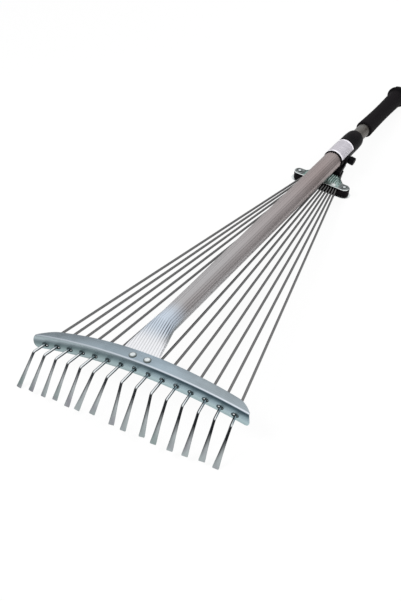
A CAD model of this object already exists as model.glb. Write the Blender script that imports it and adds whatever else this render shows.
"""Looks of the folding rake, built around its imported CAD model.

Shapes are drawn in the tool frame: X across the bar, Y along the handle from the bar to the grip,
Z away from the ground. Each piece is then laid down in the row frame, where the CAD model is.
"""
import math

import bmesh
import bpy
from mathutils import Matrix, Vector

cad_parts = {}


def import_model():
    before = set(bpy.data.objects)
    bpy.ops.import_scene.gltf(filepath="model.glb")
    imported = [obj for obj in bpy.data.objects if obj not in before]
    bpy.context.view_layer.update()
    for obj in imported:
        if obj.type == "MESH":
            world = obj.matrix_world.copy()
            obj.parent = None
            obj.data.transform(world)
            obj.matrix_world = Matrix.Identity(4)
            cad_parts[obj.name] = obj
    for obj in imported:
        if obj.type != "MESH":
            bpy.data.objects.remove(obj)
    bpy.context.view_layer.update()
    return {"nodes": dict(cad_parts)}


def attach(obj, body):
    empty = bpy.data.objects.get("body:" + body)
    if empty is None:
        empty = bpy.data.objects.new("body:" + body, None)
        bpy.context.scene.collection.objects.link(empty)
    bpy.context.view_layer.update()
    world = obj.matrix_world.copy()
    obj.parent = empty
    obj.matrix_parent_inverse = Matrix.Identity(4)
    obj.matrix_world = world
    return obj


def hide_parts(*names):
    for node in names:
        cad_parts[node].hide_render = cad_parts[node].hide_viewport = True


QUARTER_TURN = math.pi / 2
FULL_TURN = 2 * math.pi

# Where the tool frame lies in the row frame
TOOL_TILT = 0.06471515
TOOL_ORIGIN = Vector((0.0006, -0.34772384, 0.04562382))

# Fan
TINE_COUNT = 15
MIDDLE_TINE = 7
HOLE_SPAN = 0.1288
CROWN = 0.0130
WIRE_RADIUS = 0.00165
PEG_RADIUS = 0.00144
PIVOT_Y = 0.478
PIVOT_SPAN = 0.0241
PIVOT_ARC = 0.003
PIVOT_STAGGER = 0.008
BEND_REACH = 0.504
BEND_RADIUS = 0.0048
BEND_ANGLE = math.radians(47)
BLADE_REACH = 0.0475
BLADE_HALF_WIDTH = 0.0039
BLADE_FLARE = 1.9
BLADE_HALF_THICKNESS = 0.00055
PEG_LENGTH = 0.006
PEG_BEND = 0.0022
BLADE_LEAN = (2, 4, 7, 4, 3, -6, -5, 8, 0, 6, -3, -3, -7, -8, -14)
BLADE_EXTRA = (-2, -3, -2, -3, -1, -1, -3, 0, 1, 0, 2, 2, 1, -1, 0)

# Spreader bar
BAR_LEFT_END = 0.1462
BAR_RIGHT_END = 0.1450
BAR_SHEET = 0.0015
BAR_BEND = 0.0024
RIDGE_HEIGHT = 0.0119
RIDGE_LEFT_CORNER = 0.0060
WEB_HEIGHT = 0.0186
WEB_LEFT_CORNER = 0.0080
WEB_RIGHT_CORNER = 0.0055
FLANGE_DEPTH = 0.0175
FLANGE_LEFT_SAG = 0.0064
FLANGE_RIGHT_SAG = 0.0046
FLANGE_LEFT_CORNER = 0.0270
FLANGE_RIGHT_CORNER = 0.0190
FLANGE_LEFT_STOP = 0.0045
FLANGE_END_DEPTH = 0.0020
EDGE_ROUND = 0.0004
BAR_RIVET_SHIFT = 0.0030
BAR_RIVET_X = 0.0098
BAR_RIVET_Y = 0.0075
BAR_RIVET_HEAD = 0.0046
BAR_RIVET_RISE = 0.0014
BAR_RIVET_SHANK = 0.0024
SLOT_RADIUS = 0.0022
SLOT_REACH = 0.0009
SLOT_SHIFT = 0.0007
MIDDLE_LIFT = 0.0002
SLOT_RIM = 0.0006
RIM_REACH = 0.0014
RIM_LIFT = 0.0008

# Handle
AXIS_HEIGHT = 0.0190
TUBE_RADIUS = 0.0132
TUBE_WALL = 0.0012
TUBE_START_Y = 0.00135
TUBE_END_Y = 0.552
FLAT_HALF_WIDTH = 0.0254
FLAT_SHIFT = 0.0032
FLAT_HALF_HEIGHT = 0.0018
FLAT_MIDDLE = 0.0083
FLAT_Y = 0.0180
ROUND_Y = 0.0620
WIDE_Y = 0.0145
NARROW_Y = 0.0655
FLUTES = 28
FLUTE_DEPTH = 0.0004
INNER_RADIUS = 0.0098
INNER_WALL = 0.0010
INNER_START_Y = 0.130
INNER_LEAD = 0.02
INNER_FLUTES = 18
INNER_FLUTE_DEPTH = 0.00014
MARK_PLACE = Vector((0.0075, 0.6036, 0.0253))
GRIP_RADIUS = 0.0128
GRIP_WAIST = 0.0012
GRIP_START_Y = 0.6125
GRIP_END_Y = 0.738
GRIP_ROUND = 0.0022

# Air left between neighbouring pieces
GAP = 0.0003

# Twist lock
COLLAR_START_Y = 0.5478
COLLAR_LENGTH = 0.0345
COLLAR_RADIUS = 0.0143
COLLAR_NOSE_RADIUS = 0.0122
COLLAR_NOSE_LENGTH = 0.018
COLLAR_BORE_GAP = 0.0005
COLLAR_SEAT_GAP = 0.0002
COLLAR_ROUND = 0.0004
COLLAR_RIBS = 36
COLLAR_RIB_DEPTH = 0.00022
COLLAR_RIB_INSET = 0.001
COLLAR_RIB_EASE = 0.0015
COLLAR_RIB_TAIL = 0.004

# Hub and slider
HUB_ROLL = math.radians(8)
HUB_SHIFT = -0.0008
HUB_RISE = 0.0024
PLATE_SHEET = 0.0009
TOP_PLATE_ROUND = 0.00022
BOTTOM_PLATE_ROUND = 0.0002
BOTTOM_REACH = 0.0027
HUB_CEILING = 0.0018
PLATE_TOP = HUB_CEILING + PLATE_SHEET
HEAD_BOTTOM = -0.0085
HUB_FRONT_Y = 0.4632
HUB_BACK_Y = 0.4925
EAR_X = 0.0353
EAR_RADIUS = 0.0077
EAR_Y = HUB_FRONT_Y + EAR_RADIUS
WAIST_X = 0.0285
SHOULDER_X = 0.0180
HUB_RIVET_HEAD = 0.0028
HUB_RIVET_RISE = 0.0012
HUB_RIVET_SHANK = 0.0016
DOME_FRONT_Y = HUB_FRONT_Y + 0.0050
DOME_BACK_Y = HUB_BACK_Y - 0.0015
DOME_RISE = 0.0034
DOME_FRONT_HALF = 0.0290
DOME_BACK_HALF = 0.0175
DOME_EDGE = 0.0035
DOME_LIP = 0.0001
DOME_FLUTE = 0.0032
DOME_FLUTE_DEPTH = 0.0007
DOME_TUBE_GAP = 0.00035
LIGHT_X = 0.0200
LIGHT_Y = 0.4675
SLEEVE_START_Y = 0.505
SLEEVE_LENGTH = 0.042
SLEEVE_RADIUS = 0.0144
MOULDING_ROUND = 0.0004
LABEL_INSET = 0.0010
LABEL_SHEET = 0.0002
LABEL_GAP = 0.0001
LABEL_MARGIN = 0.0028
LABEL_MARGIN_FADE = 0.0006
LABEL_START_Y = SLEEVE_START_Y + LABEL_INSET
LABEL_END_Y = SLEEVE_START_Y + SLEEVE_LENGTH - 2 * LABEL_INSET
LABEL_START = math.radians(-93)
LABEL_END = math.radians(73)
KNOB_Y = 0.526
KNOB_ANGLE = math.radians(99)
KNOB_RADIUS = 0.0060
KNOB_LENGTH = 0.0078
KNOB_LOBES = 8
KNOB_LOBE_DEPTH = 0.0006
KNOB_ROUND = 0.0008
KNOB_HOLE = 0.0022
KNOB_DISH = 0.0041
KNOB_DISH_DEPTH = 0.0004
KNOB_DISH_SLOPE = 0.0004
KNOB_CENTRE = 0.0004
BOSS_RISE = 0.0028
BOSS_RADIUS = 0.0052
BOSS_TAIL = 0.0060
BOSS_FOOT = 0.0004
BOSS_ROUND = 0.0008
BOSS_FLARE = 0.0008
BOSS_FLARE_RISE = 0.0006

# Camera, in the tool frame
CAMERA_X = Vector((0.852000, 0.521489, -0.046403))
CAMERA_Y = Vector((-0.272990, 0.518144, 0.810561))
CAMERA_PLACE = Vector((0.548380, -0.692062, 0.720679))
CAMERA_LENS = 61.25
SENSOR = 36.0


def tool_pose():
    return Matrix.Translation(TOOL_ORIGIN) @ Matrix.Rotation(-TOOL_TILT, 4, "X")


def hub_pose():
    """The hub is turned a little on the round tube, its right side low."""
    return Matrix.Translation((HUB_SHIFT, 0, HUB_RISE)) @ Matrix.Rotation(HUB_ROLL, 4, "Y")


def axis_pose():
    return Matrix.Translation((0, 0, AXIS_HEIGHT))


def sleeve_pose():
    centre = hub_pose().inverted() @ Vector((0, 0, AXIS_HEIGHT))
    return hub_pose() @ Matrix.Translation(centre)


def crown_drop(x):
    return CROWN * (x / HOLE_SPAN) ** 2


def smoothstep(value):
    value = min(max(value, 0.0), 1.0)
    return value * value * (3 - 2 * value)


# Node trees

class Value:
    """A number in a node tree. Arithmetic on it adds Math nodes."""

    def __init__(self, tree, socket):
        self.tree = tree
        self.socket = socket

    def maths(self, operation, *others):
        return self.tree.value("ShaderNodeMath", {"operation": operation}, dict(enumerate((self, *others))))

    def __add__(self, other):
        return self.maths("ADD", other)

    __radd__ = __add__

    def __sub__(self, other):
        return self.maths("SUBTRACT", other)

    def __rsub__(self, other):
        return self.tree.number(other).maths("SUBTRACT", self)

    def __mul__(self, other):
        return self.maths("MULTIPLY", other)

    __rmul__ = __mul__

    def __truediv__(self, other):
        return self.maths("DIVIDE", other)

    def __pow__(self, other):
        return self.maths("POWER", other)

    def sin(self):
        return self.maths("SINE")

    def cos(self):
        return self.maths("COSINE")

    def size(self):
        return self.maths("ABSOLUTE")

    def sign(self):
        return self.maths("SIGN")

    def least(self, other):
        return self.maths("MINIMUM", other)

    def most(self, other):
        return self.maths("MAXIMUM", other)

    def between(self, low, high):
        return self.most(low).least(high)

    def signed_power(self, power):
        return self.sign() * self.size() ** power

    def scaled(self, low, high, to_low=0.0, to_high=1.0, smooth=False):
        """The value carried from one range to another, held at its ends."""
        kind = "SMOOTHSTEP" if smooth else "LINEAR"
        return self.tree.value("ShaderNodeMapRange", {"interpolation_type": kind, "clamp": True},
                               {0: self, 1: low, 2: high, 3: to_low, 4: to_high})

    def spread(self, to_low=0.0, to_high=1.0):
        """The middle range of a noise, carried to another range."""
        return self.scaled(0.3, 0.7, to_low, to_high)


class Tree:
    """Adds nodes to one node tree."""

    def __init__(self, tree):
        self.tree = tree

    def node(self, kind, settings=None, values=None):
        made = self.tree.nodes.new(kind)
        for name, setting in (settings or {}).items():
            if name == "stops":
                self.set_stops(made.color_ramp, setting)
            else:
                setattr(made, name, setting)
        for name, value in (values or {}).items():
            self.put(made.inputs[name], value)
        return made

    def out(self, kind, settings=None, values=None, output=0):
        """A new node's output."""
        return self.node(kind, settings, values).outputs[output]

    def value(self, kind, settings=None, values=None, output=0):
        """A new node's output as a number."""
        return Value(self, self.out(kind, settings, values, output))

    def set_stops(self, ramp, stops):
        while len(ramp.elements) < len(stops):
            ramp.elements.new(1.0)
        for element, (place, colour) in zip(ramp.elements, stops):
            element.position = place
            element.color = (*colour, 1.0)

    def put(self, socket, value):
        if isinstance(value, Value):
            value = value.socket
        if isinstance(value, bpy.types.NodeSocket):
            self.tree.links.new(value, socket)
        else:
            socket.default_value = value

    def number(self, value):
        return self.value("ShaderNodeMath", {"operation": "ADD"}, {0: value, 1: 0.0})

    def vector(self, x, y, z):
        return self.out("ShaderNodeCombineXYZ", None, {0: x, 1: y, 2: z})

    def parts(self, vector):
        node = self.node("ShaderNodeSeparateXYZ", None, {0: vector})
        return [Value(self, node.outputs[i]) for i in range(3)]


class Finish(Tree):
    """A material with a Principled shader and the tool frame's coordinates."""

    def __init__(self, name, metallic):
        self.material = bpy.data.materials.new(name)
        self.material.use_nodes = True
        super().__init__(self.material.node_tree)
        self.shader = self.tree.nodes["Principled BSDF"]
        self.set("Metallic", metallic)
        back = tool_pose().inverted()
        place = self.out("ShaderNodeTexCoord", output="Object")
        self.point = self.out("ShaderNodeMapping", None, {
            "Vector": place, "Location": back.translation, "Rotation": back.to_euler()})
        self.x, self.y, self.z = self.parts(self.point)

    def noise(self, scale, stretch=(1, 1, 1), detail=2.0):
        """Noise from about 0 to 1 whose cells are 1 / scale metres, stretched along the tool's axes."""
        point = self.out("ShaderNodeVectorMath", {"operation": "MULTIPLY"},
                         {0: self.point, 1: [1 / along for along in stretch]})
        return self.value("ShaderNodeTexNoise", None, {
            "Vector": point, "Scale": scale, "Detail": detail, "Roughness": 0.55})

    def mark(self, name):
        """A number that the piece's geometry tree kept on its points."""
        return self.value("ShaderNodeAttribute", {"attribute_name": name}, output="Fac")

    def blend(self, share, low, high):
        """A colour between two colours."""
        low, high = [(*colour, 1.0) if isinstance(colour, tuple) else colour for colour in (low, high)]
        return self.out("ShaderNodeMix", {"data_type": "RGBA"}, {0: share, 6: low, 7: high}, 2)

    def dim(self, colour, share):
        """A colour multiplied by a number."""
        return self.out("ShaderNodeMix", {"data_type": "RGBA", "blend_type": "MULTIPLY"},
                        {0: 1.0, 6: colour, 7: self.vector(share, share, share)}, 2)

    def set(self, name, value):
        self.put(self.shader.inputs[name], value)

    def done(self, colour, roughness, relief, depth, strength):
        """The finished material, with a fine relief that is this many metres deep."""
        self.set("Base Color", colour)
        self.set("Roughness", roughness)
        values = {"Height": relief, "Distance": depth, "Strength": strength}
        self.set("Normal", self.out("ShaderNodeBump", None, values))
        return self.material


def geometry_tree(name, sizes):
    """A geometry tree with named number inputs and a material input."""
    group = bpy.data.node_groups.new(name, "GeometryNodeTree")
    group.interface.new_socket("Geometry", in_out="OUTPUT", socket_type="NodeSocketGeometry")
    for label in sizes:
        group.interface.new_socket(label, in_out="INPUT", socket_type="NodeSocketFloat")
    group.interface.new_socket("Material", in_out="INPUT", socket_type="NodeSocketMaterial")
    tree = Tree(group)
    start = tree.node("NodeGroupInput")
    inputs = {label: Value(tree, start.outputs[label]) for label in (*sizes, "Material")}
    return tree, inputs


def grid_of(tree, rows, turns):
    """A flat grid, with how far along and how far round each of its points is, from 0 to 1."""
    grid = tree.out("GeometryNodeMeshGrid", None,
                    {"Size X": 1.0, "Size Y": 1.0, "Vertices X": rows, "Vertices Y": turns + 1})
    along, around, _ = tree.parts(tree.out("GeometryNodeInputPosition"))
    return grid, along + 0.5, around + 0.5


def moved(tree, mesh, x, y, z):
    return tree.out("GeometryNodeSetPosition", None, {"Geometry": mesh, "Position": tree.vector(x, y, z)})


def marked(tree, mesh, name, value):
    """Keeps a number on the mesh's points for its material, before the points are moved."""
    return tree.out("GeometryNodeStoreNamedAttribute", {"data_type": "FLOAT", "domain": "POINT"},
                    {"Geometry": mesh, "Name": name, "Value": value})


def end_tree(tree, mesh, material, join=0.000002):
    """Welds, realizes and coats what the tree made."""
    for kind, values in (("GeometryNodeMergeByDistance", {"Distance": join}),
                         ("GeometryNodeSetShadeSmooth", {"Shade Smooth": True}),
                         ("GeometryNodeRealizeInstances", {}),
                         ("GeometryNodeSetMaterial", {"Material": material})):
        mesh = tree.out(kind, None, {0: mesh, **values})
    tree.put(tree.node("NodeGroupOutput").inputs[0], mesh)


# Meshes

def lay(made, pose):
    """Puts a mesh in its place in the row frame, its object staying at the origin."""
    made.data.transform(tool_pose() @ pose)
    made.data.update()
    return made


def tidy_mesh(mesh, join=0.000001):
    """Welds a mesh and turns its faces outwards."""
    work = bmesh.new()
    work.from_mesh(mesh)
    bmesh.ops.remove_doubles(work, verts=work.verts, dist=join)
    bmesh.ops.dissolve_degenerate(work, edges=work.edges, dist=join)
    bmesh.ops.recalc_face_normals(work, faces=work.faces)
    work.to_mesh(mesh)
    work.free()


def placed(name, data):
    """A new object in the scene."""
    made = bpy.data.objects.new(name, data)
    bpy.context.scene.collection.objects.link(made)
    return made


def baked(made):
    """The plain mesh that an object's modifiers make, which takes their place."""
    bpy.context.view_layer.update()
    shown = made.evaluated_get(bpy.context.evaluated_depsgraph_get())
    mesh = bpy.data.meshes.new_from_object(shown)
    made.modifiers.clear()
    made.data = mesh
    return mesh


def shade(mesh, sharp):
    """Smooth shading, broken at edges that bend by more than this many degrees."""
    mesh.shade_smooth()
    mesh.set_sharp_from_angle(angle=math.radians(sharp))


def grown(name, tree, sizes, material, pose, sharp=40):
    """The mesh that a geometry tree makes from the given sizes."""
    made = placed(name, bpy.data.meshes.new(name))
    modifier = made.modifiers.new(name, "NODES")
    modifier.node_group = tree.tree
    for item in tree.tree.interface.items_tree:
        if item.in_out == "INPUT":
            modifier[item.identifier] = material if item.name == "Material" else sizes[item.name]
    mesh = baked(made)
    tidy_mesh(mesh)
    shade(mesh, sharp)
    return lay(made, pose)


def solid(name, verts, faces, material, pose, sharp=35):
    """A piece from points and faces that are drawn in the frame of its pose."""
    mesh = bpy.data.meshes.new(name)
    mesh.from_pydata([tuple(v) for v in verts], [], faces)
    tidy_mesh(mesh)
    mesh.materials.append(material)
    shade(mesh, sharp)
    return lay(placed(name, mesh), pose)


def bevelled(made, width, segments=3, angle=40):
    """Rounds the sharp edges of a mesh."""
    step = made.modifiers.new("round", "BEVEL")
    step.width = width
    step.segments = segments
    step.limit_method = "ANGLE"
    step.angle_limit = math.radians(angle)
    step.use_clamp_overlap = True
    return applied(made)


def applied(made):
    """Puts an object's modifiers into its mesh."""
    shade(baked(made), 50)
    return made


def walled(made, thickness):
    """Gives a sheet its thickness, inwards."""
    step = made.modifiers.new("wall", "SOLIDIFY")
    step.thickness = thickness
    step.offset = -1.0
    return applied(made)


def cut(made, guide):
    """Takes a guide's shape out of a mesh."""
    step = made.modifiers.new("cut", "BOOLEAN")
    step.operation = "DIFFERENCE"
    step.solver = "EXACT"
    step.object = guide
    applied(made)
    bpy.data.objects.remove(guide, do_unlink=True)
    return made


def joined(name, first, *others):
    """One mesh object out of several."""
    work = bmesh.new()
    for made in (first, *others):
        work.from_mesh(made.data)
    mesh = bpy.data.meshes.new(name)
    work.to_mesh(mesh)
    work.free()
    for material in first.data.materials:
        mesh.materials.append(material)
    for old in (first, *others):
        bpy.data.objects.remove(old, do_unlink=True)
    mesh.set_sharp_from_angle(angle=math.radians(55))
    return placed(name, mesh)


def loft(rings, capped=True):
    """A skin over rings of points, closed at both ends where it is capped."""
    count = len(rings[0])
    verts = [p for ring in rings for p in ring]
    faces = []
    for r in range(len(rings) - 1):
        for j in range(count):
            a = r * count + j
            b = r * count + (j + 1) % count
            faces.append((a, b, b + count, a + count))
    if capped:
        faces.append(tuple(range(count - 1, -1, -1)))
        faces.append(tuple(range((len(rings) - 1) * count, len(rings) * count)))
    return verts, faces


def prism(outline, low, high):
    return loft([[Vector((u, v, w)) for u, v in outline] for w in (low, high)])


def arc(radius, steps, u, v, start, sweep):
    angles = [start + sweep * step / steps for step in range(steps + 1)]
    return [(u + radius * math.cos(angle), v + radius * math.sin(angle)) for angle in angles]


def swing(steps):
    """Sine and cosine at each step of a quarter turn."""
    angles = [QUARTER_TURN * step / steps for step in range(steps + 1)]
    return [(math.sin(angle), math.cos(angle)) for angle in angles]


def ring_angles(sides):
    return [FULL_TURN * side / sides for side in range(sides)]


def merge(shapes):
    """Several (points, faces) shapes as one."""
    verts, faces = [], []
    for shape_verts, shape_faces in shapes:
        offset = len(verts)
        verts.extend(shape_verts)
        faces.extend(tuple(i + offset for i in face) for face in shape_faces)
    return verts, faces


def turned(profile, sides, ripple=None):
    """A closed body of revolution about the Y axis from a closed (radius, y) outline."""
    rings = []
    for radius, y in profile:
        ring = []
        for angle in ring_angles(sides):
            r = radius if ripple is None else radius - ripple(radius, y, angle)
            ring.append(Vector((r * math.sin(angle), y, r * math.cos(angle))))
        rings.append(ring)
    rings.append(rings[0])
    return loft(rings, capped=False)


# Finishes

# Down the bar's web from its ridge: place over its height, and colour
LEFT_SHADES = ((0.04, (0.42, 0.50, 0.53)), (0.17, (0.25, 0.31, 0.335)), (0.30, (0.16, 0.22, 0.235)),
               (0.42, (0.18, 0.25, 0.26)), (0.58, (0.29, 0.38, 0.39)), (0.76, (0.37, 0.475, 0.49)),
               (0.92, (0.35, 0.43, 0.44)))
RIGHT_SHADES = ((0.02, (0.42, 0.50, 0.55)), (0.07, (0.06, 0.10, 0.125)), (0.16, (0.070, 0.110, 0.135)),
                (0.28, (0.17, 0.245, 0.28)), (0.40, (0.30, 0.40, 0.44)), (0.55, (0.37, 0.48, 0.53)),
                (0.74, (0.47, 0.60, 0.63)), (0.92, (0.41, 0.53, 0.55)))


def zinc_finish():
    """Zinc plate with a bluish cast, brushed lengthwise. Below the bar's ridge it darkens, then pales."""
    f = Finish("zinc_plate_look", 1.0)
    cloud = f.noise(38).scaled(0.35, 0.65, smooth=True)
    streak = f.noise(700, (40, 1, 1))
    grain = streak.spread(0.93, 1.06)
    # The flange, palest right of the bar's middle
    centre = f.x.scaled(-0.13, 0.02)
    flange = f.blend(centre, (0.25, 0.30, 0.335), (0.37, 0.455, 0.52))
    flange = f.blend(f.x.scaled(0.03, 0.09), flange, (0.35, 0.405, 0.44))
    flange = f.dim(flange, cloud * 0.14 + 0.93)
    # The web, shaded by how far it lies below the crowned ridge, and from lower down at its left end
    below = RIDGE_HEIGHT - (f.z + f.x * f.x * (CROWN / HOLE_SPAN ** 2))
    lower = f.x.scaled(-0.06, -0.13) * 0.0035
    depth = (below - lower) / WEB_HEIGHT
    sides = [f.out("ShaderNodeValToRGB", {"stops": stops}, {"Fac": depth})
             for stops in (LEFT_SHADES, RIGHT_SHADES)]
    web = f.blend(f.x.scaled(-0.06, 0.03), *sides)
    # The bend between them, brighter towards the right
    right = f.x.scaled(-BAR_LEFT_END, BAR_RIGHT_END)
    ridge = f.blend(right, (0.44, 0.49, 0.54), (0.85, 0.90, 0.98))
    front = f.y.scaled(0.0004, -0.0002)
    bend = below.scaled(0.0009, 0.0003) * f.y.scaled(0.0022, 0.0006)
    colour = f.blend(front, flange, web)
    brushed = streak + f.noise(2600, (12, 1, 1), detail=3.0) * 0.3
    return f.done(f.dim(f.blend(bend, colour, ridge), grain),
                  streak.spread(0.24, 0.36) + front * 0.18, brushed, 0.00002, 0.4)


def edge_finish():
    """The rolled rims of the punched slots, darker than the sheet round them."""
    f = Finish("punched_edge_look", 1.0)
    fleck = f.noise(1200)
    return f.done(f.blend(fleck.spread(), (0.045, 0.065, 0.075), (0.11, 0.15, 0.16)),
                  fleck.spread(0.5, 0.65), fleck, 0.00001, 0.3)


def hub_finish():
    """Zinc plate of the hub, greener and duller, with a worn bright patch on its raised middle."""
    f = Finish("hub_plate_look", 1.0)
    cloud = f.noise(170).scaled(0.40, 0.60, smooth=True)
    fleck = f.noise(900)
    # Place in the hub's own frame
    x = f.x * math.cos(HUB_ROLL) - (f.z - HUB_RISE) * math.sin(HUB_ROLL) - HUB_SHIFT
    z = f.x * math.sin(HUB_ROLL) + (f.z - HUB_RISE) * math.cos(HUB_ROLL)
    middle = x.size().scaled(0.029, 0.025, smooth=True) * z.scaled(0.0, 0.001)
    # Bright rims, round the front of each ear and along the bottom plate
    ear_x = (x.size() - EAR_X).most(0.0)
    ear_y = f.y - EAR_Y
    reach = (ear_x * ear_x + ear_y * ear_y) ** 0.5
    rim = reach.scaled(EAR_RADIUS - 0.0014, EAR_RADIUS - 0.0008)
    rim = rim * (ear_y + x.sign() * 0.003).scaled(0.003, -0.001)
    bottom = z.scaled(HEAD_BOTTOM + 0.001, HEAD_BOTTOM)
    rim = rim.most(bottom * reach.scaled(EAR_RADIUS - 0.0005, EAR_RADIUS))
    plain = f.blend(cloud, (0.10, 0.115, 0.115), (0.30, 0.33, 0.33))
    # The raised middle with its worn patch
    light = 1 - (x - LIGHT_X).size().scaled(0.0010, 0.0055, smooth=True)
    light = light * (1 - (f.y - LIGHT_Y).size().scaled(0.0004, 0.0036, smooth=True))
    raised = f.blend(cloud, (0.17, 0.26, 0.24), (0.36, 0.49, 0.46))
    raised = f.blend(light, raised, (0.95, 1.0, 1.0))
    colour = f.blend(middle, plain, raised)
    colour = f.blend(rim, colour, (0.80, 0.85, 0.85))
    return f.done(f.dim(colour, fleck.spread(0.9, 1.08)), fleck.spread(0.28, 0.42), fleck, 0.00002, 0.4)


def rivet_finish():
    """Steel that is worn bright on the crown of each head and dull round its edge."""
    f = Finish("rivet_steel_look", 1.0)
    patch = f.noise(500)
    crown = f.mark("crown")
    worn = f.blend(patch.scaled(0.35, 0.65), (0.70, 0.76, 0.78), (0.93, 0.98, 1.0))
    return f.done(f.blend(crown.scaled(0.32, 0.72, smooth=True), (0.17, 0.195, 0.19), worn),
                  patch.spread(0.22, 0.36), patch, 0.00002, 0.4)


def tube_finish():
    """Satin aluminium drawn lengthwise, warm and darker down its right side, white on its pressed end."""
    f = Finish("fluted_aluminium_look", 1.0)
    groove = f.mark("groove")
    streak = f.noise(1300, (1, 90, 1))
    cloud = f.noise(26, (1, 2, 1)).scaled(0.35, 0.65, smooth=True)
    # Warmer towards the sleeve, and darker down the right side
    warm = f.y.scaled(0.10, 0.45)
    pale = f.blend(warm, (0.52, 0.52, 0.53), (0.385, 0.325, 0.318))
    dark = f.blend(warm, (0.42, 0.40, 0.405), (0.188, 0.152, 0.147))
    rise = f.z - AXIS_HEIGHT
    stripe = (f.x - warm * 0.003).scaled(0.002, 0.0105, smooth=True) * rise.scaled(0.0, 0.0045, smooth=True)
    colour = f.blend(stripe, pale, dark)
    colour = f.blend(cloud * 0.18, colour, (0.42, 0.38, 0.38))
    # Where the tube starts to flatten: bluish, and dark in the fold on its right
    fold = f.x.scaled(0.006, 0.011, smooth=True) * rise.scaled(0.004, -0.002, smooth=True)
    ramp = f.y.scaled(0.100, 0.064, smooth=True)
    colour = f.blend(ramp * 0.75, colour, f.blend(fold, (0.68, 0.79, 0.92), (0.28, 0.32, 0.34)))
    pressed = f.y.scaled(0.052, 0.030, smooth=True)
    colour = f.blend(pressed, colour, (0.93, 0.94, 0.97))
    # Dark lines in the flutes, strong on the flattened part and faint on the stripe behind it
    flattened = f.y.scaled(0.064, 0.056) * f.y.scaled(0.020, 0.045, 0.25, 0.54)
    lines = groove ** 3.0 * (flattened + stripe * f.y.scaled(0.26, 0.10) * 0.45)
    return f.done(f.dim(colour, streak.spread(0.95, 1.03) * (1 - lines)),
                  streak.spread(0.30, 0.40), streak, 0.000015, 0.4)


def inner_finish():
    """Drawn aluminium, greyer than the outer tube, brownish on its right."""
    f = Finish("inner_aluminium_look", 1.0)
    streak = f.noise(1100, (1, 90, 1))
    fleck = f.noise(420, detail=3.0).scaled(0.35, 0.65)
    stripe = f.x.scaled(-0.001, 0.006, smooth=True)
    colour = f.blend(stripe, (0.20, 0.195, 0.185), (0.135, 0.125, 0.115))
    colour = f.dim(colour, fleck * 0.3 + 0.85)
    # A small brown mark
    off = f.value("ShaderNodeVectorMath", {"operation": "DISTANCE"}, {0: f.point, 1: MARK_PLACE}, "Value")
    mark = off.scaled(0.0021, 0.0008, smooth=True)
    colour = f.blend(mark * 0.92, colour, (0.045, 0.028, 0.020))
    return f.done(f.dim(colour, streak.spread(0.92, 1.05)),
                  streak.spread(0.34, 0.46), streak, 0.00002, 0.5)


def wire_finish():
    """Spring wire: bright on top ahead of the bar, dark at its blade's root, duller where rolled."""
    f = Finish("tine_wire_look", 1.0)
    bend, blade, side, top = [f.mark(name) for name in ("bend", "blade", "side", "top")]
    grain = f.noise(60, (1, 3, 1)).scaled(0.35, 0.65)
    fleck = f.noise(1500)
    # Behind the bar, a dull wire that is darker on one side
    shaft = f.blend(side.scaled(-0.8, 0.6), (0.19, 0.19, 0.19), (0.075, 0.077, 0.080))
    shaft = f.blend(f.x.scaled(0.02, 0.12) * 0.6, shaft, (0.25, 0.25, 0.25))
    # Ahead of it, a bright line along the top
    facing = top * 0.87 - side * 0.5
    bright = f.blend(facing.scaled(0.74, 0.96, smooth=True), (0.045, 0.055, 0.060), (0.80, 0.84, 0.86))
    colour = f.blend(f.y.scaled(0.004, -0.002, smooth=True), shaft, bright)
    # The rolled blade: a dark root, longer on the right of the fan, then grey, then a paler tip
    right = f.x.scaled(-0.10, 0.10)
    shaded = side.scaled(-0.3, 0.6, smooth=True)
    middle = f.blend(shaded, (0.46, 0.49, 0.50), (0.06, 0.065, 0.07))
    root = f.blend(right, (0.055, 0.06, 0.065), (0.016, 0.018, 0.020))
    rolled = f.blend((blade - right * 0.26).scaled(0.02, 0.42), root, middle)
    glint = side.scaled(0.45, 0.85, smooth=True) * right * blade.scaled(0.5, 0.3)
    rolled = f.blend(glint * 0.8, rolled, (0.55, 0.58, 0.60))
    hue = f.noise(45, detail=1.0).scaled(0.40, 0.60)
    tip = f.blend(grain, f.blend(hue, (0.28, 0.345, 0.34), (0.33, 0.325, 0.36)), (0.42, 0.47, 0.475))
    rolled = f.blend((blade - right * 0.14).scaled(0.40, 0.86), rolled, tip)
    colour = f.blend(bend.scaled(0.40, 0.90, smooth=True), colour, rolled)
    return f.done(f.dim(colour, fleck.spread(0.94, 1.05)),
                  blade.scaled(0.1, 0.6, 0.18, 0.36), fleck, 0.00001, 0.3)


def plastic_finish():
    """Moulded black plastic with a fine grain."""
    f = Finish("black_plastic_look", 0.0)
    f.set("Specular IOR Level", 0.03)
    grain = f.noise(2200)
    cloud = f.noise(60)
    return f.done(f.blend(cloud.scaled(0.35, 0.65), (0.004, 0.004, 0.005), (0.008, 0.007, 0.008)),
                  grain.spread(0.36, 0.5), grain, 0.00005, 0.5)


def foam_finish():
    """Closed-cell foam rubber: fine pores and a soft dull face."""
    f = Finish("grip_rubber_look", 0.0)
    f.set("Specular IOR Level", 0.06)
    pores = f.value("ShaderNodeTexVoronoi", {"feature": "F1"}, {"Vector": f.point, "Scale": 1400.0},
                    "Distance")
    grain = f.noise(500, detail=3.0)
    return f.done(f.blend(grain.spread(), (0.004, 0.003, 0.004), (0.009, 0.008, 0.009)),
                  grain.spread(0.66, 0.84), pores.scaled(0.0, 0.6) + grain, 0.0001, 0.7)


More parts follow.
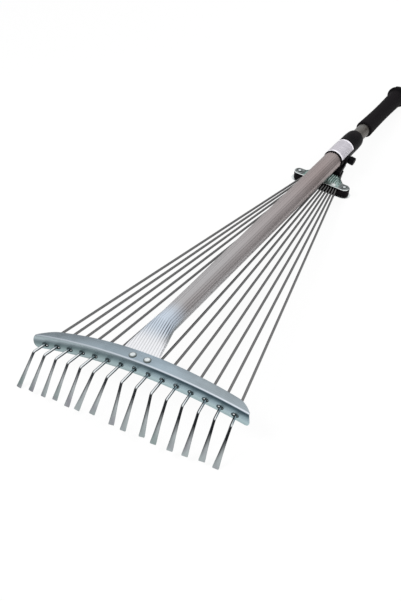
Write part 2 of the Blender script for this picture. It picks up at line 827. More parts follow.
def label_finish():
    """Bare film where a label would be, paler along its two ends."""
    f = Finish("bare_label_look", 0.0)
    cloud = f.noise(260, detail=3.0)
    low, high = LABEL_START_Y + LABEL_MARGIN, LABEL_END_Y - LABEL_MARGIN
    edge = f.y.scaled(low + LABEL_MARGIN_FADE, low).most(f.y.scaled(high - LABEL_MARGIN_FADE, high))
    body = f.blend(cloud.scaled(0.35, 0.65), (0.40, 0.385, 0.425), (0.47, 0.45, 0.49))
    return f.done(f.blend(edge, body, (0.76, 0.74, 0.79)), cloud.spread(0.3, 0.42), cloud, 0.00003, 0.3)


def nylon_finish():
    """Natural nylon of the hidden rings and plug."""
    f = Finish("white_nylon_look", 0.0)
    grain = f.noise(900, detail=3.0)
    return f.done(f.blend(grain.spread(), (0.70, 0.69, 0.64), (0.78, 0.77, 0.73)),
                  0.5, grain, 0.00003, 0.4)


# Fan geometry in the tool frame

def side_share(index):
    return (index - MIDDLE_TINE) / MIDDLE_TINE


def hole_point(index):
    x = HOLE_SPAN * side_share(index)
    return Vector((x, 0.0, -crown_drop(x)))


def line_start(index):
    """Where a tine's line starts, on the hub's shallow arc."""
    share = side_share(index)
    return hub_pose() @ Vector((PIVOT_SPAN * share, PIVOT_Y - PIVOT_ARC * share ** 2, 0.0))


def wire_direction(index):
    return (hole_point(index) - line_start(index)).normalized()


def pivot_setback(index):
    """Pegs stand in two rows, so that neighbours clear each other."""
    return 0.0 if index % 2 == 0 else PIVOT_STAGGER


def pivot_point(index):
    return line_start(index) + wire_direction(index) * pivot_setback(index)


def hinge_axis(index):
    """The axis that a tine turns about, square to its wire."""
    if index == MIDDLE_TINE:
        return hub_pose().to_3x3() @ Vector((0, 0, 1))
    axis = wire_direction(index).cross(Vector((0, 1, 0))).normalized()
    return axis if axis.z > 0 else -axis


def tine_pose(index):
    """Frame at a tine's peg: Y along its wire, its blade bent towards -Z."""
    ahead = wire_direction(index)
    down = -(Vector((0, 0, 1)) - ahead * ahead.z).normalized()
    side = ahead.cross(down)
    lean = math.radians(BLADE_LEAN[index])
    up = -(down * math.cos(lean) + side * math.sin(lean))
    across = ahead.cross(up)
    turn = Matrix((across, ahead, up)).transposed().to_4x4()
    return Matrix.Translation(pivot_point(index)) @ turn


TINE_SIZES = ("Wire Radius", "Peg Radius", "Peg Length", "Peg Bend", "Peg Turn", "Shaft Length",
              "Bend Radius", "Bend Angle", "Blade Length", "Blade Half Width", "Blade Half Thickness",
              "Blade Flare")
TINE_ROWS = 110
TINE_TURNS = 20

# Share of a tine's rows at which each stretch of it ends
PEG_STOP = 0.03
FOOT_STOP = 0.12
SWELL_STOP = 0.16
SHAFT_STOP = 0.20
BEND_STOP = 0.45
BLADE_STOP = (TINE_ROWS - 2) / (TINE_ROWS - 1)


def tine_tree():
    """A wire that rises from its peg, runs straight, bends down and is rolled flat towards its tip."""
    tree, size = geometry_tree("tine", TINE_SIZES)
    grid, along, around = grid_of(tree, TINE_ROWS, TINE_TURNS)
    swell = along.scaled(FOOT_STOP, SWELL_STOP)
    radius = size["Peg Radius"] + swell * (size["Wire Radius"] - size["Peg Radius"])
    rise = along.scaled(0.0, PEG_STOP) * (size["Peg Length"] - size["Peg Bend"])
    first = along.scaled(PEG_STOP, FOOT_STOP) * QUARTER_TURN
    run = along.scaled(FOOT_STOP, SHAFT_STOP) * size["Shaft Length"]
    bend = along.scaled(SHAFT_STOP, BEND_STOP)
    second = bend * size["Bend Angle"]
    share = along.scaled(BEND_STOP, BLADE_STOP)
    reach = share * size["Blade Length"]
    foot = rise - size["Peg Length"] + first.sin() * size["Peg Bend"]
    ahead = ((1 - first.cos()) * size["Peg Bend"] + run + second.sin() * size["Bend Radius"]
             + reach * size["Bend Angle"].cos())
    drop = (1 - second.cos()) * size["Bend Radius"] + reach * size["Bend Angle"].sin()
    slope = QUARTER_TURN - first - second
    ends = (along * (TINE_ROWS - 1)).least((1 - along) * (TINE_ROWS - 1)).least(1.0)
    corner = share.scaled(0.975, 1.0, 1.0, 0.86)
    flare = share ** size["Blade Flare"]
    half_width = (radius + (size["Blade Half Width"] - radius) * flare) * ends * corner
    half_height = (radius + (size["Blade Half Thickness"] - radius) * share) * ends
    turn = around * FULL_TURN
    boxy = share.scaled(0.1, 0.7, 1.0, 0.45)
    width = turn.cos().signed_power(boxy) * half_width
    height = turn.sin().signed_power(boxy) * half_height
    for name, value in (("bend", bend), ("blade", share), ("side", turn.cos()), ("top", turn.sin())):
        grid = marked(tree, grid, name, value)
    mesh = moved(tree, grid, foot * size["Peg Turn"].sin() + width, ahead - height * slope.sin(),
                 foot * size["Peg Turn"].cos() - drop + height * slope.cos())
    end_tree(tree, mesh, size["Material"])
    return tree


def make_tine(index, tree, finish):
    pose = tine_pose(index)
    up = pose.to_3x3().inverted() @ hinge_axis(index)
    tangent = BEND_RADIUS * math.tan(BEND_ANGLE / 2)
    sizes = {"Wire Radius": WIRE_RADIUS, "Peg Radius": PEG_RADIUS, "Peg Length": PEG_LENGTH,
             "Peg Bend": PEG_BEND, "Peg Turn": math.atan2(up.x, up.z),
             "Shaft Length": BEND_REACH - pivot_setback(index) - tangent - PEG_BEND,
             "Bend Radius": BEND_RADIUS, "Bend Angle": BEND_ANGLE,
             "Blade Length": BLADE_REACH + BLADE_EXTRA[index] * 0.001 - tangent,
             "Blade Half Width": BLADE_HALF_WIDTH, "Blade Half Thickness": BLADE_HALF_THICKNESS,
             "Blade Flare": BLADE_FLARE}
    return grown(f"wire_tine_{index + 1:02d}", tree, sizes, finish, pose, sharp=60)


# Tubes

TUBE_SIZES = ("Radius", "Start", "End", "Flat Half Width", "Flat Half Height", "Flat Drop", "Flat Shift",
              "Flat End", "Round Start", "Wide End", "Narrow Start", "Flute Count", "Flute Depth")
TUBE_ROWS = 80
TUBE_TURNS = 288

# Share of the tube's rows that its pressed end takes, and how straight its taper is, the rest being eased
PRESSED_ROWS = 0.9
STRAIGHT = 0.96


def tube_tree():
    """A fluted tube whose start is pressed flat and spread."""
    tree, size = geometry_tree("fluted_tube", TUBE_SIZES)
    grid, along, around = grid_of(tree, TUBE_ROWS, TUBE_TURNS)
    start, end, middle = size["Start"], size["End"], size["Narrow Start"]
    y = start + along.scaled(0.0, PRESSED_ROWS) * (middle - start)
    y = y + along.scaled(PRESSED_ROWS, 1.0) * (end - middle)
    flat, wide = [1 - y.scaled(low, high) * STRAIGHT - y.scaled(low, high, smooth=True) * (1 - STRAIGHT)
                  for low, high in ((size["Flat End"], size["Round Start"]), (size["Wide End"], middle))]
    height = size["Radius"] + (size["Flat Half Height"] - size["Radius"]) * flat
    width = size["Radius"] + (size["Flat Half Width"] - size["Radius"]) * wide
    straight = (width - height).most(0.0)
    quarters = around * 4
    path = quarters.maths("PINGPONG", 1.0) * (straight + height * QUARTER_TURN)
    angle = ((path - straight) / height).between(0.0, QUARTER_TURN)
    groove = (1 - (around * size["Flute Count"] * FULL_TURN).cos()) * 0.5
    outer = height - groove * size["Flute Depth"]
    x = (path.least(straight) + outer * angle.sin()) * (0.5 - around).sign() - wide * size["Flat Shift"]
    z = outer * angle.cos() * ((quarters - 2).size() - 1).sign()
    drop = x * x * (CROWN / HOLE_SPAN ** 2)
    grid = marked(tree, grid, "groove", groove)
    mesh = moved(tree, grid, x, y, z - flat * (size["Flat Drop"] + drop))
    end_tree(tree, mesh, size["Material"])
    return tree


def make_outer_tube(tree, finish):
    sizes = {"Radius": TUBE_RADIUS, "Start": TUBE_START_Y, "End": TUBE_END_Y,
             "Flat Half Width": FLAT_HALF_WIDTH, "Flat Half Height": FLAT_HALF_HEIGHT,
             "Flat Drop": AXIS_HEIGHT - FLAT_MIDDLE, "Flat Shift": FLAT_SHIFT, "Flat End": FLAT_Y,
             "Round Start": ROUND_Y, "Wide End": WIDE_Y, "Narrow Start": NARROW_Y, "Flute Count": FLUTES,
             "Flute Depth": FLUTE_DEPTH}
    tube = grown("fluted_outer_tube", tree, sizes, finish, axis_pose(), sharp=60)
    return walled(tube, TUBE_WALL)


def make_inner_tube(tree, finish):
    """The same kind of tube. Its start is pressed to its own radius, so it stays round."""
    before, after = INNER_START_Y - INNER_LEAD, INNER_START_Y + INNER_LEAD
    sizes = {"Radius": INNER_RADIUS, "Start": INNER_START_Y, "End": GRIP_END_Y,
             "Flat Half Width": INNER_RADIUS, "Flat Half Height": INNER_RADIUS, "Flat Drop": 0.0,
             "Flat Shift": 0.0, "Flat End": before, "Round Start": after, "Wide End": before,
             "Narrow Start": after, "Flute Count": INNER_FLUTES, "Flute Depth": INNER_FLUTE_DEPTH}
    tube = grown("drawn_inner_tube", tree, sizes, finish, axis_pose(), sharp=60)
    return walled(tube, INNER_WALL)


# Spreader bar

def bar_end(x):
    return BAR_LEFT_END if x < 0 else BAR_RIGHT_END


def flange_depth(x):
    """The back edge is an arc that runs out at the bar's ends, sooner on the left."""
    left = x < 0
    sag = FLANGE_LEFT_SAG if left else FLANGE_RIGHT_SAG
    corner = FLANGE_LEFT_CORNER if left else FLANGE_RIGHT_CORNER
    stop = bar_end(x) - (FLANGE_LEFT_STOP if left else 0.0)
    depth = FLANGE_DEPTH - sag * (x / HOLE_SPAN) ** 2
    into_corner = min(max((abs(x) - (stop - corner)) / corner, 0.0), 1.0)
    return FLANGE_END_DEPTH + (depth - FLANGE_END_DEPTH) * (1 - into_corner ** 2)


def corner_cut(x, radius):
    """How much a rounded corner of the bar's end takes off its edge at x."""
    into_corner = min(max((abs(x) - (bar_end(x) - radius)) / radius, 0.0), 1.0)
    return radius * (1 - math.sqrt(1 - into_corner ** 2))


def bar_section(x, bend_steps=8):
    """The bent sheet's outline at x, its edges a little rounded."""
    front = -BAR_SHEET / 2
    back = front + BAR_SHEET
    depth = flange_depth(x)
    ridge = RIDGE_HEIGHT - (corner_cut(x, RIDGE_LEFT_CORNER) if x < 0 else 0.0)
    bottom = RIDGE_HEIGHT - WEB_HEIGHT + corner_cut(x, WEB_LEFT_CORNER if x < 0 else WEB_RIGHT_CORNER)
    centre_y = front + BAR_BEND
    centre_z = ridge - BAR_BEND
    r = EDGE_ROUND
    corner = r * 0.3
    bend = swing(bend_steps)
    outline = [(depth, ridge - r), (depth - corner, ridge - corner), (depth - r, ridge)]
    outline += [(centre_y - BAR_BEND * sine, centre_z + BAR_BEND * cosine) for sine, cosine in bend]
    outline += [(front, bottom + r), (front + corner, bottom + corner), (front + r, bottom),
                (back - r, bottom), (back - corner, bottom + corner), (back, bottom + r)]
    inner = BAR_BEND - BAR_SHEET
    outline += [(centre_y - inner * sine, centre_z + inner * cosine) for sine, cosine in reversed(bend)]
    outline += [(depth - r, ridge - BAR_SHEET), (depth - corner, ridge - BAR_SHEET + corner),
                (depth, ridge - BAR_SHEET + r)]
    return [Vector((x, y, z - crown_drop(x))) for y, z in outline]


def bar_stations(middle_steps=64, corner_steps=20):
    """Sections along the bar, closer together towards its ends."""
    shares = [sine for sine, _ in swing(corner_steps)[1:]]
    low = FLANGE_LEFT_CORNER + FLANGE_LEFT_STOP - BAR_LEFT_END
    high = BAR_RIGHT_END - FLANGE_RIGHT_CORNER
    left = [low - (BAR_LEFT_END + low) * share for share in shares]
    right = [high + (BAR_RIGHT_END - high) * share for share in shares]
    middle = [low + (high - low) * step / middle_steps for step in range(middle_steps + 1)]
    return left[::-1] + middle + right


def slot_outline(index, steps=10):
    """A slot reaches further towards the bar's middle, where its wire goes when the hub slides."""
    hole = hole_point(index)
    share = side_share(index)
    reach = SLOT_REACH * abs(share)
    x = hole.x - SLOT_SHIFT * share
    z = hole.z + (MIDDLE_LIFT if share == 0 else 0.0)
    right = arc(SLOT_RADIUS, steps, x + reach, z, -QUARTER_TURN, math.pi)
    return right + arc(SLOT_RADIUS, steps, x - reach, z, QUARTER_TURN, math.pi)


def make_bar(finish):
    bar = solid("zinc_spreader_bar", *loft([bar_section(x) for x in bar_stations()]), finish, Matrix())
    turn = Matrix.Rotation(QUARTER_TURN, 4, "X")
    depth = 2 * BAR_SHEET
    slots = merge([prism(slot_outline(index), -depth, depth) for index in range(TINE_COUNT)])
    return cut(bar, solid("slots", *slots, finish, turn))


RIM_SIZES = ("Count", "Half Span", "Crown", "Slot Radius", "Slot Reach", "Slot Shift", "Middle Lift",
             "Rim Radius")


def rim_tree():
    """Punched rims round the bar's slots: one ring, set along the crowned row of holes."""
    tree, size = geometry_tree("slot_rims", RIM_SIZES)
    row = tree.out("GeometryNodeMeshLine", {"mode": "OFFSET"},
                   {"Count": TINE_COUNT, "Offset": (0.0, 0.0, 0.0)})
    share = tree.value("GeometryNodeInputIndex") / (size["Count"] - 1) * 2 - 1
    lift = share.size().scaled(1 / TINE_COUNT, 0.0) * size["Middle Lift"] * 0.5
    points = moved(tree, row, share * (size["Half Span"] - size["Slot Shift"]), 0.0,
                   lift - share * share * size["Crown"])
    path, wire = [tree.out("GeometryNodeCurvePrimitiveCircle", None,
                           {"Resolution": steps, "Radius": size[radius]})
                  for steps, radius in ((40, "Slot Radius"), (10, "Rim Radius"))]
    ring = tree.out("GeometryNodeCurveToMesh", None, {"Curve": path, "Profile Curve": wire})
    stretch = 1 + share.size() * size["Slot Reach"] / size["Slot Radius"]
    rings = tree.out("GeometryNodeInstanceOnPoints", None, {
        "Points": points, "Instance": ring, "Rotation": (QUARTER_TURN, 0.0, 0.0),
        "Scale": tree.vector(stretch, lift / size["Slot Radius"] + 1, 1.0)})
    rings = tree.out("GeometryNodeRealizeInstances", None, {0: rings})
    end_tree(tree, rings, size["Material"])
    return tree


def make_rims(finish):
    sizes = {"Count": TINE_COUNT, "Half Span": HOLE_SPAN, "Crown": CROWN,
             "Slot Radius": SLOT_RADIUS + SLOT_RIM * 0.5, "Slot Reach": RIM_REACH,
             "Slot Shift": SLOT_SHIFT, "Middle Lift": RIM_LIFT, "Rim Radius": SLOT_RIM}
    return grown("slot_rims", rim_tree(), sizes, finish, Matrix.Translation((0, -BAR_SHEET / 2, 0)))


# Rivets

RIVET_SIZES = ("Head Radius", "Rise", "Dimple Radius", "Dimple Depth", "Shank Radius", "Grip",
               "Closed Radius", "Closed Rise")
RIVET_ROWS = 70
RIVET_TURNS = 48

# Share of a rivet's rows at which each stretch of it ends
CLOSED_STOP = 0.28
STEP_IN_STOP = 0.32
SHANK_STOP = 0.50
STEP_OUT_STOP = 0.54
HEAD_STOP = 0.57


def rivet_tree():
    """A domed head with a small dimple, a shank, and a closed head at the far side of the sheets."""
    tree, size = geometry_tree("rivet", RIVET_SIZES)
    grid, along, around = grid_of(tree, RIVET_ROWS, RIVET_TURNS)
    closed = along.scaled(0.0, CLOSED_STOP) * QUARTER_TURN
    crown = along.scaled(HEAD_STOP, 1.0)
    shank, head, foot = size["Shank Radius"], size["Head Radius"], size["Closed Radius"]
    radius = closed.sin() * foot + along.scaled(CLOSED_STOP, STEP_IN_STOP) * (shank - foot)
    radius = radius + along.scaled(SHANK_STOP, STEP_OUT_STOP) * (head - shank)
    radius = radius * (crown * QUARTER_TURN).cos()
    hollow = (size["Dimple Radius"] - radius).scaled(0.0, 0.0006, smooth=True) * size["Dimple Depth"]
    height = (crown * QUARTER_TURN).sin() * size["Rise"] - closed.cos() * size["Closed Rise"]
    height = height - along.scaled(SHANK_STOP, STEP_IN_STOP) * size["Grip"]
    height = height - hollow * crown.scaled(0.0, 0.2)
    turn = around * FULL_TURN
    grid = marked(tree, grid, "crown", crown)
    mesh = moved(tree, grid, radius * turn.cos(), radius * turn.sin(), height)
    end_tree(tree, mesh, size["Material"])
    return tree


def make_rivet(name, tree, head, rise, shank, grip, pose, finish):
    sizes = {"Head Radius": head, "Rise": rise, "Dimple Radius": head * 0.3, "Dimple Depth": rise * 0.15,
             "Shank Radius": shank, "Grip": grip, "Closed Radius": head * 0.8, "Closed Rise": rise * 0.6}
    return grown(name, tree, sizes, finish, pose, sharp=50)


# Hub plates

def plate_outline(grow=0.0, steps=24):
    """Two round ears joined by a straight front, and by a back that narrows over the neck."""
    radius = EAR_RADIUS + grow
    back = HUB_BACK_Y + grow
    right = arc(radius, steps, EAR_X, EAR_Y, -QUARTER_TURN, math.pi)
    right += [(WAIST_X, EAR_Y + radius), (SHOULDER_X, back)]
    return right + [(-u, v) for u, v in reversed(right)]


def make_bottom_plate(finish):
    shape = prism(plate_outline(BOTTOM_REACH), HEAD_BOTTOM - PLATE_SHEET, HEAD_BOTTOM - GAP)
    return bevelled(solid("hub_bottom_skin", *shape, finish, hub_pose()), BOTTOM_PLATE_ROUND)


def dome_half(y):
    share = (y - DOME_FRONT_Y) / (DOME_BACK_Y - DOME_FRONT_Y)
    return DOME_FRONT_HALF + (DOME_BACK_HALF - DOME_FRONT_HALF) * share


def dome_top(x, y):
    """Height of the raised, fluted middle, hollowed round the tube."""
    rise = smoothstep((dome_half(y) - abs(x)) / DOME_EDGE)
    rise *= smoothstep((y - DOME_FRONT_Y) / DOME_EDGE) * smoothstep((DOME_BACK_Y - y) / DOME_EDGE)
    flute = DOME_FLUTE_DEPTH * (0.5 - 0.5 * math.cos(FULL_TURN * x / DOME_FLUTE))
    top = PLATE_TOP + (DOME_RISE - flute) * rise
    hollow = TUBE_RADIUS + DOME_TUBE_GAP
    centre = hub_pose().inverted() @ Vector((0, 0, AXIS_HEIGHT))
    off = x - centre.x
    if abs(off) < hollow:
        top = min(top, centre.z - math.sqrt(hollow ** 2 - off ** 2))
    return max(top, PLATE_TOP - DOME_LIP)


def dome_patch(across=150, along=40):
    """The raised middle as a grid with a flat underside, its rim let into the plate."""
    top, bottom = [], []
    for j in range(along + 1):
        y = DOME_FRONT_Y + (DOME_BACK_Y - DOME_FRONT_Y) * j / along
        for i in range(across + 1):
            x = dome_half(y) * (2 * i / across - 1)
            lip = DOME_LIP if i in (0, across) or j in (0, along) else 0.0
            top.append(Vector((x, y, dome_top(x, y) - lip)))
            bottom.append(Vector((x, y, PLATE_TOP - PLATE_SHEET * 0.6)))
    row = across + 1
    lower = len(top)
    faces = []
    for j in range(along):
        for i in range(across):
            a = j * row + i
            faces.append((a, a + 1, a + row + 1, a + row))
            faces.append((lower + a, lower + a + row, lower + a + row + 1, lower + a + 1))
    rim = list(range(row)) + [j * row + across for j in range(1, along + 1)]
    rim += [along * row + i for i in range(across - 1, -1, -1)] + [j * row for j in range(along - 1, 0, -1)]
    for k, a in enumerate(rim):
        b = rim[(k + 1) % len(rim)]
        faces.append((a, lower + a, lower + b, b))
    return top + bottom, faces


def make_top_plate(finish):
    shape = prism(plate_outline(), HUB_CEILING + GAP, PLATE_TOP)
    plate = bevelled(solid("hub_top_sheet", *shape, finish, hub_pose()), TOP_PLATE_ROUND)
    dome = solid("hub_top_dome", *dome_patch(), finish, hub_pose(), sharp=70)
    return joined("hub_top_skin", plate, dome)


# Turned pieces

def make_collar(finish):
    """Twist collar with fine lengthwise ribs on its straight part and a smooth rounded nose."""
    start, end = COLLAR_START_Y, COLLAR_START_Y + COLLAR_LENGTH
    tail = end - COLLAR_NOSE_LENGTH
    bore, seat = INNER_RADIUS + COLLAR_BORE_GAP, TUBE_RADIUS + COLLAR_SEAT_GAP
    r = COLLAR_ROUND
    profile = [(seat, start + GAP), (seat, TUBE_END_Y + GAP), (bore, TUBE_END_Y + GAP),
               (bore, end - r), (bore + r, end)]
    swell = COLLAR_RADIUS - COLLAR_NOSE_RADIUS
    profile += [(COLLAR_NOSE_RADIUS + swell * sine, tail + COLLAR_NOSE_LENGTH * cosine)
                for sine, cosine in swing(14)]
    profile += [(COLLAR_RADIUS, tail - (tail - start) * step / 10) for step in range(1, 10)]
    profile += [(COLLAR_RADIUS, start + r), (COLLAR_RADIUS - r / 4, start + r / 4),
                (COLLAR_RADIUS - r, start)]

    def ripple(radius, y, angle):
        if radius < COLLAR_NOSE_RADIUS:
            return 0.0
        fade = smoothstep((tail + COLLAR_RIB_TAIL - y) / COLLAR_RIB_TAIL)
        fade *= smoothstep((y - start - COLLAR_RIB_INSET) / COLLAR_RIB_EASE)
        return COLLAR_RIB_DEPTH * fade * (0.5 - 0.5 * math.cos(COLLAR_RIBS * angle))

    return solid("twist_collar", *turned(profile, 8 * COLLAR_RIBS, ripple), finish, axis_pose(), sharp=40)


def make_grip(finish, sides=96, steps=24):
    """Foam sleeve with a rounded start and a slight waist."""
    bore = INNER_RADIUS + GAP
    profile = [(bore, GRIP_END_Y), (bore, GRIP_START_Y)]
    profile += [(GRIP_RADIUS - GRIP_ROUND * (1 - sine), GRIP_START_Y + GRIP_ROUND * (1 - cosine))
                for sine, cosine in swing(8)[:-1]]
    straight = GRIP_START_Y + GRIP_ROUND
    for share in [step / steps for step in range(steps + 1)]:
        profile.append((GRIP_RADIUS - GRIP_WAIST * math.sin(math.pi * share),
                        straight + (GRIP_END_Y - straight) * share))
    return solid("foam_grip", *turned(profile, sides), finish, axis_pose())


def make_label(finish, sides=60):
    """Bare film on the upper side of the sleeve, with rounded edges."""
    inner = SLEEVE_RADIUS + LABEL_GAP
    outer = inner + LABEL_SHEET
    start, end = LABEL_START_Y, LABEL_END_Y
    r = LABEL_SHEET / 2
    section = ((inner, start), (outer - r, start), (outer, start + r), (outer, end - r), (outer - r, end),
               (inner, end))
    rings = []
    for side in range(sides + 1):
        angle = LABEL_START + (LABEL_END - LABEL_START) * side / sides
        sine, cosine = math.sin(angle), math.cos(angle)
        rings.append([Vector((radius * sine, y, radius * cosine)) for radius, y in section])
    return solid("bare_label_film", *loft(rings), finish, sleeve_pose())


def knob_pose():
    out = Vector((math.sin(KNOB_ANGLE), 0.0, math.cos(KNOB_ANGLE)))
    along = Vector((0, 1, 0))
    turn = Matrix((along.cross(out), along, out)).transposed().to_4x4()
    return sleeve_pose() @ Matrix.Translation((0, KNOB_Y, 0)) @ turn


def make_boss(finish, sides=64, steps=6):
    """Stout boss that carries the lock screw, its foot on the round sleeve."""
    foot = SLEEVE_RADIUS - BOSS_FOOT
    top = SLEEVE_RADIUS + BOSS_RISE

    def ring(radius, height=None):
        """A round outline drawn out towards the hub. Without a height it lies on the sleeve."""
        points = []
        for angle in ring_angles(sides):
            x = radius * math.cos(angle + math.pi / sides)
            y = radius * math.sin(angle + math.pi / sides)
            y -= BOSS_TAIL if y < 0 else 0.0
            points.append(Vector((x, y, math.sqrt(foot ** 2 - x ** 2) if height is None else height)))
        return points

    rings = [ring(BOSS_RADIUS + BOSS_FLARE), ring(BOSS_RADIUS, SLEEVE_RADIUS + BOSS_FLARE_RISE)]
    rings += [ring(BOSS_RADIUS - BOSS_ROUND * (1 - cosine), top - BOSS_ROUND * (1 - sine))
              for sine, cosine in swing(steps)]
    return solid("lock_boss", *loft(rings), finish, knob_pose())


def make_knob(finish, sides=20 * KNOB_LOBES):
    """Lobed knob with rounded rims and a shallow dish in its end."""
    start = SLEEVE_RADIUS + BOSS_RISE + GAP
    end = start + KNOB_LENGTH
    r = KNOB_ROUND

    def ring(radius, z, depth=0.0):
        points = []
        for angle in ring_angles(sides):
            out = radius - depth * (1 - math.cos(KNOB_LOBES * angle)) / 2
            points.append(Vector((out * math.cos(angle), out * math.sin(angle), z)))
        return points

    rings = [ring(KNOB_HOLE, start)]
    rings += [ring(KNOB_RADIUS - r * (1 - sine), start + r * (1 - cosine), KNOB_LOBE_DEPTH)
              for sine, cosine in swing(4)]
    rings += [ring(KNOB_RADIUS - r * (1 - cosine), end - r * (1 - sine), KNOB_LOBE_DEPTH)
              for sine, cosine in swing(4)]
    floor = end - KNOB_DISH_DEPTH
    rings += [ring(KNOB_DISH, end), ring(KNOB_DISH - KNOB_DISH_SLOPE, floor + KNOB_DISH_DEPTH / 4),
              ring(KNOB_DISH - 2 * KNOB_DISH_SLOPE, floor), ring(KNOB_CENTRE, floor)]
    return solid("lobed_knob", *loft(rings), finish, knob_pose(), sharp=50)


def make_slider_body(node, finish):
    """The CAD moulding with its sharp edges rounded."""
    mesh = node.data.copy()
    mesh.name = "slider_moulding"
    mesh.transform(node.matrix_world)
    mesh.materials.clear()
    mesh.materials.append(finish)
    work = bmesh.new()
    work.from_mesh(mesh)
    bmesh.ops.remove_doubles(work, verts=work.verts, dist=0.00001)
    bmesh.ops.dissolve_limit(work, angle_limit=math.radians(1), verts=work.verts, edges=work.edges)
    work.to_mesh(mesh)
    work.free()
    return bevelled(placed("slider_moulding", mesh), MOULDING_ROUND, segments=2, angle=50)


# Stage

WHITE = (1.0, 1.0, 1.0, 1.0)
PAPER = (0.9, 0.9, 0.9, 1.0)
FLOOR_DROP = 0.0003


def rays(tree):
    """Whether a ray comes from the camera, off a glossy face, or through a clear one."""
    path = tree.node("ShaderNodeLightPath")
    return [Value(tree, path.outputs[f"Is {kind} Ray"]) for kind in ("Camera", "Glossy", "Transmission")]


def mixed(tree, share, low, high):
    """A shader between two shaders."""
    return tree.out("ShaderNodeMixShader", None, {0: share, 1: low, 2: high})


def make_floor(reach=6.0):
    """Pale paper that glows where it is seen, so that it has no horizon."""
    mesh = bpy.data.meshes.new("floor")
    corners = [(-reach, -reach, 0), (reach, -reach, 0), (reach, reach, 0), (-reach, reach, 0)]
    mesh.from_pydata(corners, [], [(0, 1, 2, 3)])
    floor = placed("floor", mesh)
    floor.location = (0, 0, -FLOOR_DROP)
    material = bpy.data.materials.new("floor_paper")
    material.use_nodes = True
    tree = Tree(material.node_tree)
    material.node_tree.nodes.clear()
    paper = tree.out("ShaderNodeBsdfDiffuse", None, {"Color": PAPER})
    glow = tree.out("ShaderNodeEmission", None, {"Color": WHITE, "Strength": 1.0})
    camera, glossy, clear = rays(tree)
    seen = camera.most(glossy).most(clear)
    tree.node("ShaderNodeOutputMaterial", None, {0: mixed(tree, seen * 0.92, paper, glow)})
    mesh.materials.append(material)


def make_world():
    """White where the camera sees it. Metal sees a tent that is greyer towards the horizon."""
    world = bpy.data.worlds.new("studio")
    bpy.context.scene.world = world
    world.use_nodes = True
    tree = Tree(world.node_tree)
    world.node_tree.nodes.clear()
    camera, glossy, clear = rays(tree)
    height = tree.parts(tree.out("ShaderNodeTexCoord", output="Generated"))[2]
    tent = height.scaled(0.02, 0.55, 0.45, 1.0, smooth=True)
    air, grey, white = [tree.out("ShaderNodeBackground", None, {"Color": WHITE, "Strength": strength})
                        for strength in (0.45, tent, 1.0)]
    unseen = mixed(tree, glossy, air, grey)
    tree.node("ShaderNodeOutputWorld", None, {0: mixed(tree, camera.most(clear), unseen, white)})


def make_lamp(name, place, size, power):
    """A square soft lamp that looks at the object and isn't mirrored in it."""
    data = bpy.data.lights.new(name, "AREA")
    data.shape = "SQUARE"
    data.size = size
    data.energy = power
    lamp = placed(name, data)
    lamp.location = place
    lamp.visible_glossy = False
    lamp.rotation_euler = (-Vector(place)).to_track_quat("-Z", "Y").to_euler()


def make_camera():
    data = bpy.data.cameras.new("camera")
    data.lens = CAMERA_LENS
    data.sensor_width = SENSOR
    data.sensor_fit = "AUTO"
    data.clip_start = 0.01
    camera = placed("camera", data)
    turn = Matrix((CAMERA_X, CAMERA_Y, CAMERA_X.cross(CAMERA_Y))).transposed().to_4x4()
    camera.matrix_world = tool_pose() @ Matrix.Translation(CAMERA_PLACE) @ turn
    bpy.context.scene.camera = camera


def dress(node, finish):
    """Gives a carried-over CAD node its finish."""
    for slot in node.material_slots:
        slot.material = finish
    if not node.material_slots:
        node.data.materials.append(finish)


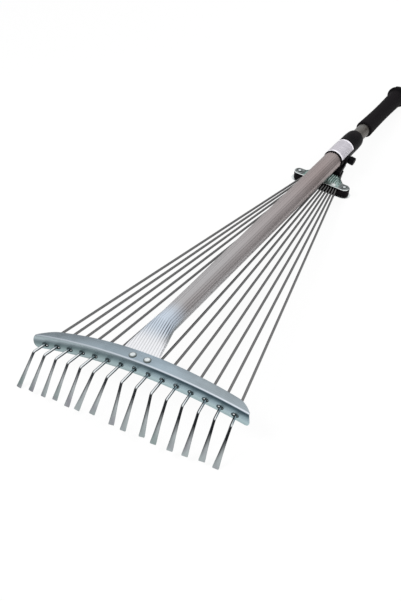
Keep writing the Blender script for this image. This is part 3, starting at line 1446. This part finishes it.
def main():
    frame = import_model()
    nodes = frame["nodes"]

    zinc = zinc_finish()
    edge = edge_finish()
    plate = hub_finish()
    steel = rivet_finish()
    aluminium = tube_finish()
    inner = inner_finish()
    wire = wire_finish()
    plastic = plastic_finish()
    foam = foam_finish()
    film = label_finish()
    nylon = nylon_finish()

    def ready(piece, body, slot, *replaced):
        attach(piece, body)
        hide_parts(*replaced)

    ready(make_bar(zinc), "handle", "zinc_plate", "spreader_bar")
    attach(make_rims(edge), "handle")

    tubes = tube_tree()
    ready(make_outer_tube(tubes, aluminium), "handle", "fluted_aluminium", "outer_tube")
    ready(make_inner_tube(tubes, inner), "pole", "inner_aluminium", "inner_tube")

    rivets = rivet_tree()
    bar_grip = RIDGE_HEIGHT - FLAT_MIDDLE + FLAT_HALF_HEIGHT + 2 * GAP
    hub_grip = PLATE_TOP - HEAD_BOTTOM + PLATE_SHEET + 2 * GAP
    for side, word in ((-1, "left"), (1, "right")):
        x = BAR_RIVET_SHIFT + side * BAR_RIVET_X
        pose = Matrix.Translation((x, BAR_RIVET_Y, RIDGE_HEIGHT + GAP - crown_drop(x)))
        rivet = make_rivet(f"domed_bar_rivet_{word}", rivets, BAR_RIVET_HEAD, BAR_RIVET_RISE,
                           BAR_RIVET_SHANK, bar_grip, pose, steel)
        ready(rivet, "handle", "rivet_steel", f"bar_rivet_{word}")
        pose = hub_pose() @ Matrix.Translation((side * EAR_X, EAR_Y, PLATE_TOP + GAP))
        rivet = make_rivet(f"domed_hub_rivet_{word}", rivets, HUB_RIVET_HEAD, HUB_RIVET_RISE,
                           HUB_RIVET_SHANK, hub_grip, pose, steel)
        ready(rivet, "slider", "rivet_steel", f"hub_rivet_{word}")

    tines = tine_tree()
    for index in range(TINE_COUNT):
        name = f"tine_{index + 1:02d}"
        body = "slider" if index == MIDDLE_TINE else name
        ready(make_tine(index, tines, wire), body, "tine_wire", name)

    ready(make_top_plate(plate), "slider", "zinc_plate", "hub_top_plate")
    ready(make_bottom_plate(plate), "slider", "zinc_plate", "hub_bottom_plate")
    ready(make_collar(plastic), "collar", "black_plastic", "lock_collar")
    ready(make_grip(foam), "pole", "grip_rubber", "grip")
    ready(make_knob(plastic), "knob", "black_plastic", "lock_knob")

    ready(make_slider_body(nodes["slider_body"], plastic), "slider", "black_plastic", "slider_body")
    ready(make_label(film), "slider", "bare_label", "label_band")
    boss = make_boss(plastic)
    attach(boss, "slider")

    for name, finish in (("end_cap", plastic), ("ferrule", nylon), ("collet_ring", nylon),
                         ("guide_plug", nylon), ("lock_screw", steel)):
        dress(nodes[name], finish)

    make_floor()
    make_world()
    make_lamp("key", (-0.9, -1.0, 1.5), 1.0, 26.0)
    make_lamp("fill", (1.3, -0.2, 1.1), 0.9, 12.0)
    make_lamp("back", (0.2, 1.5, 1.0), 0.9, 10.0)
    make_camera()
    bpy.context.scene.view_settings.view_transform = "Standard"


main()
